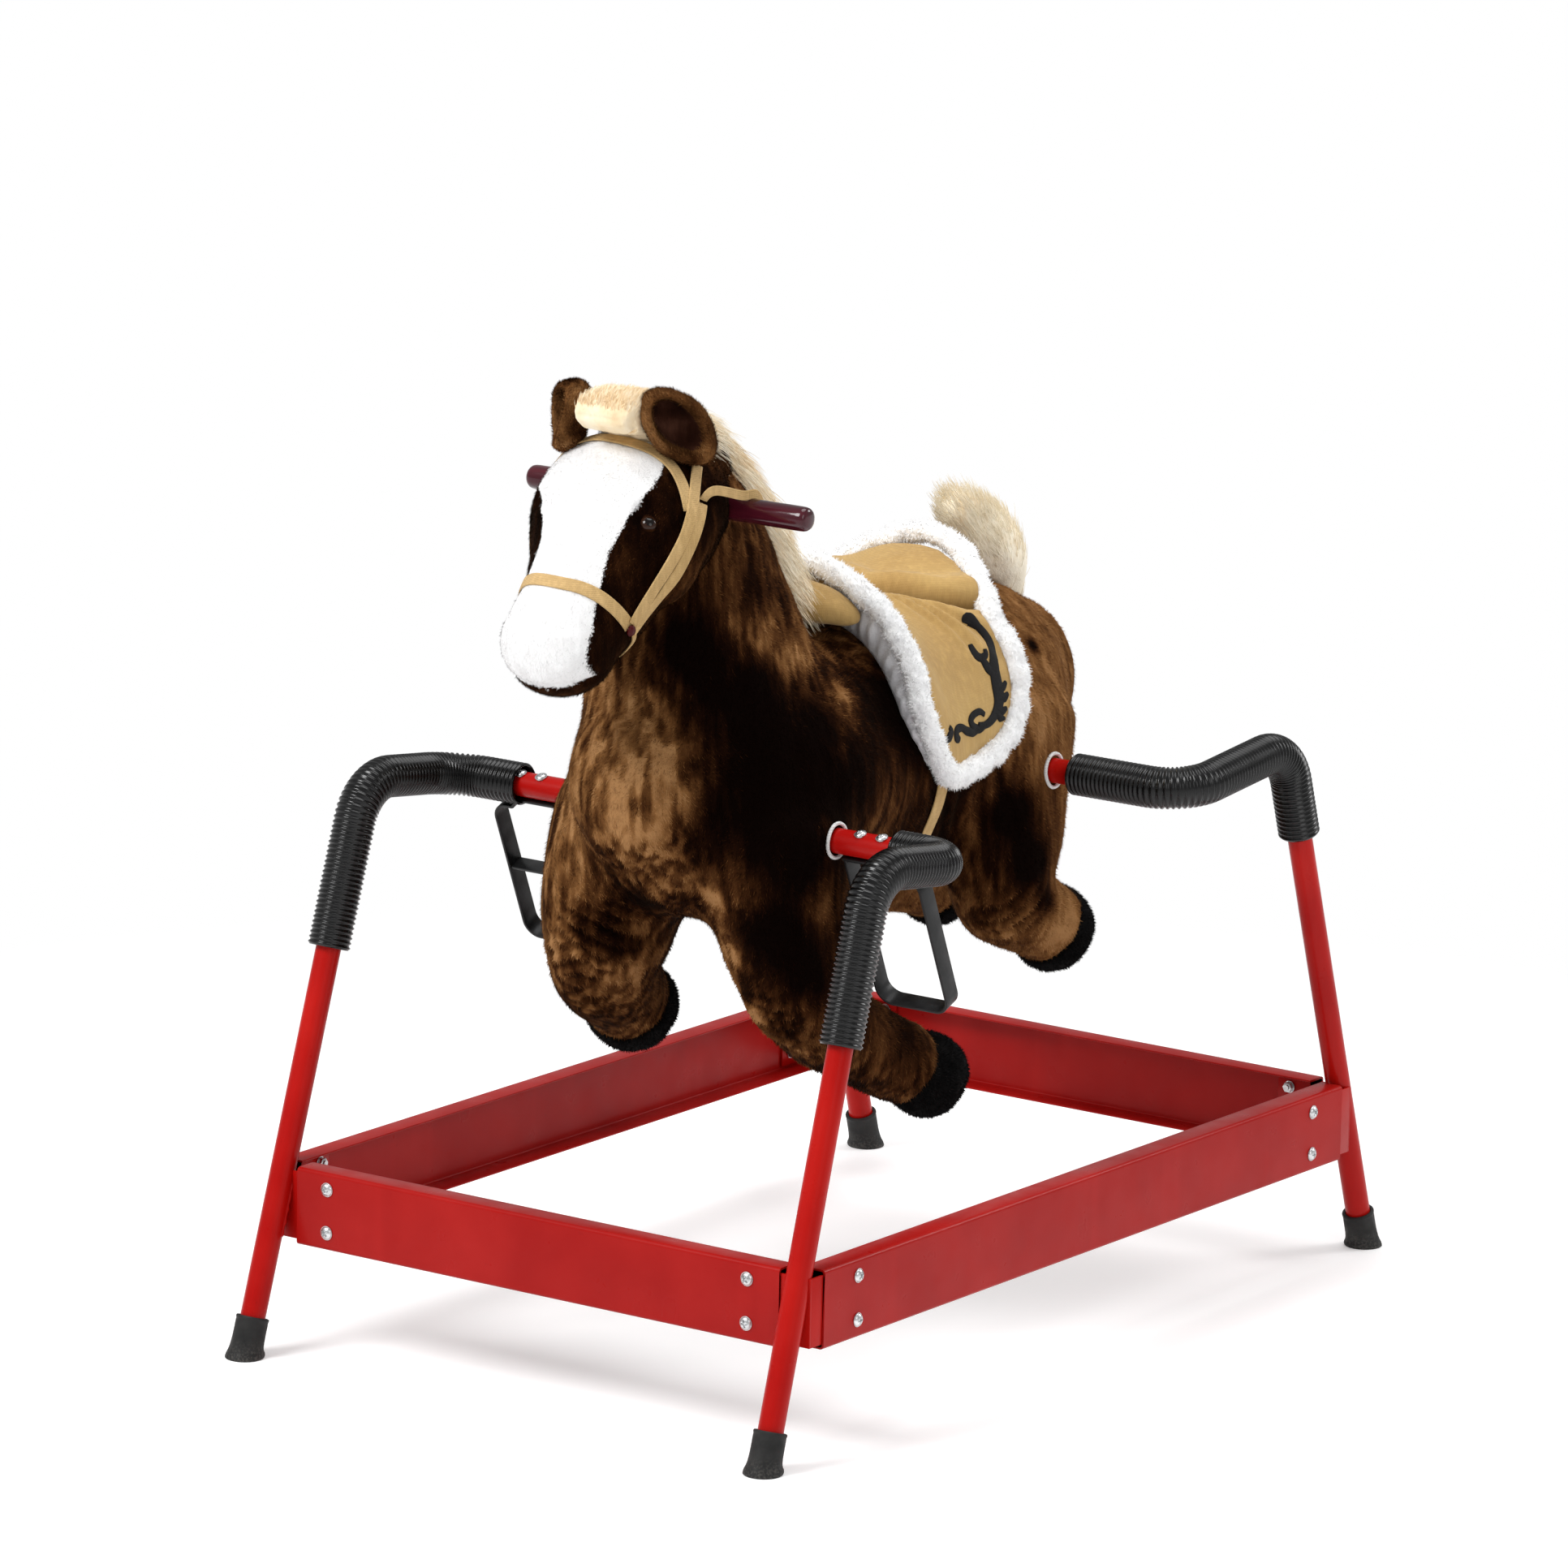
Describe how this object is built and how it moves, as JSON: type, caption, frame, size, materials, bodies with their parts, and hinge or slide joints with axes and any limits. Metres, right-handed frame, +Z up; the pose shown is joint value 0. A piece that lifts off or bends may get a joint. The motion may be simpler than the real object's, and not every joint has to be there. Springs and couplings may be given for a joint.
{
  "type": "spring rocking horse",
  "caption": "Plush ride-on rocking horse with saddle, bridle, grab handle and stirrups, hung by coil springs under ribbed covers from a bolted steel-tube floor frame.",
  "frame": {"origin": "middle of the frame's footprint, on the floor", "axes": "+Z up; the horse looks to -Y; its left side is +X"},
  "size_m": [0.66, 1.096, 0.977],
  "materials": {
    "red_paint": "satin",
    "black_steel": "satin",
    "zinc": "satin",
    "spring_steel": "satin",
    "black_rubber": "matte",
    "black_plastic_hose": "satin",
    "maroon_handle": "gloss",
    "brown_plush": "matte",
    "black_plush": "matte",
    "cream_hair": "matte",
    "tan_fabric": "matte",
    "eye_gloss": "gloss"
  },
  "bodies": {
    "frame": {"front_left_frame_leg": "red_paint", "front_left_foot_cap": "black_rubber", "front_left_bolt_1": "zinc", "front_left_bolt_2": "zinc", "front_left_bolt_3": "zinc", "front_left_bolt_4": "zinc", "front_left_spring_cover": "black_plastic_hose", "front_left_spring": "spring_steel", "front_right_frame_leg": "red_paint", "front_right_foot_cap": "black_rubber", "front_right_bolt_1": "zinc", "front_right_bolt_2": "zinc", "front_right_bolt_3": "zinc", "front_right_bolt_4": "zinc", "front_right_spring_cover": "black_plastic_hose", "front_right_spring": "spring_steel", "rear_left_frame_leg": "red_paint", "rear_left_foot_cap": "black_rubber", "rear_left_bolt_1": "zinc", "rear_left_bolt_2": "zinc", "rear_left_bolt_3": "zinc", "rear_left_bolt_4": "zinc", "rear_left_spring_cover": "black_plastic_hose", "rear_left_spring": "spring_steel", "rear_right_frame_leg": "red_paint", "rear_right_foot_cap": "black_rubber", "rear_right_bolt_1": "zinc", "rear_right_bolt_2": "zinc", "rear_right_bolt_3": "zinc", "rear_right_bolt_4": "zinc", "rear_right_spring_cover": "black_plastic_hose", "rear_right_spring": "spring_steel", "front_rail": "red_paint", "rear_rail": "red_paint", "left_side_rail": "red_paint", "right_side_rail": "red_paint"},
    "rear_crossbar": {"rear_crossbar": "red_paint"},
    "horse": {"horse_frame": "red_paint", "handlebar": "maroon_handle", "left_stirrup": "black_steel", "right_stirrup": "black_steel", "torso": "brown_plush", "neck": "brown_plush", "head": "brown_plush", "left_ear": "brown_plush", "right_ear": "brown_plush", "left_eye": "eye_gloss", "right_eye": "eye_gloss", "front_left_horse_leg": "brown_plush", "front_left_hoof": "black_plush", "front_right_horse_leg": "brown_plush", "front_right_hoof": "black_plush", "rear_left_horse_leg": "brown_plush", "rear_left_hoof": "black_plush", "rear_right_horse_leg": "brown_plush", "rear_right_hoof": "black_plush", "mane": "cream_hair", "tail": "cream_hair", "saddle": "tan_fabric", "bridle": "tan_fabric"}
  },
  "joints": [
    {"name": "bounce", "type": "slide", "parent": "frame", "child": "rear_crossbar", "axis": [0, 0, 1], "range_m": [-0.045, 0.015], "stiffness_N_per_m": 4900, "springref_m": 0.0155, "deforming": ["rear_left_spring_cover", "rear_right_spring_cover", "rear_left_spring", "rear_right_spring"]},
    {"name": "rock", "type": "hinge", "parent": "rear_crossbar", "child": "horse", "pos_m": [0, 0.18, 0.533], "axis": [1, 0, 0], "range_deg": [-6, 6], "stiffness_Nm_per_rad": 382, "springref_deg": -2.69, "deforming": ["front_left_spring_cover", "front_right_spring_cover", "front_left_spring", "front_right_spring"]}
  ]
}
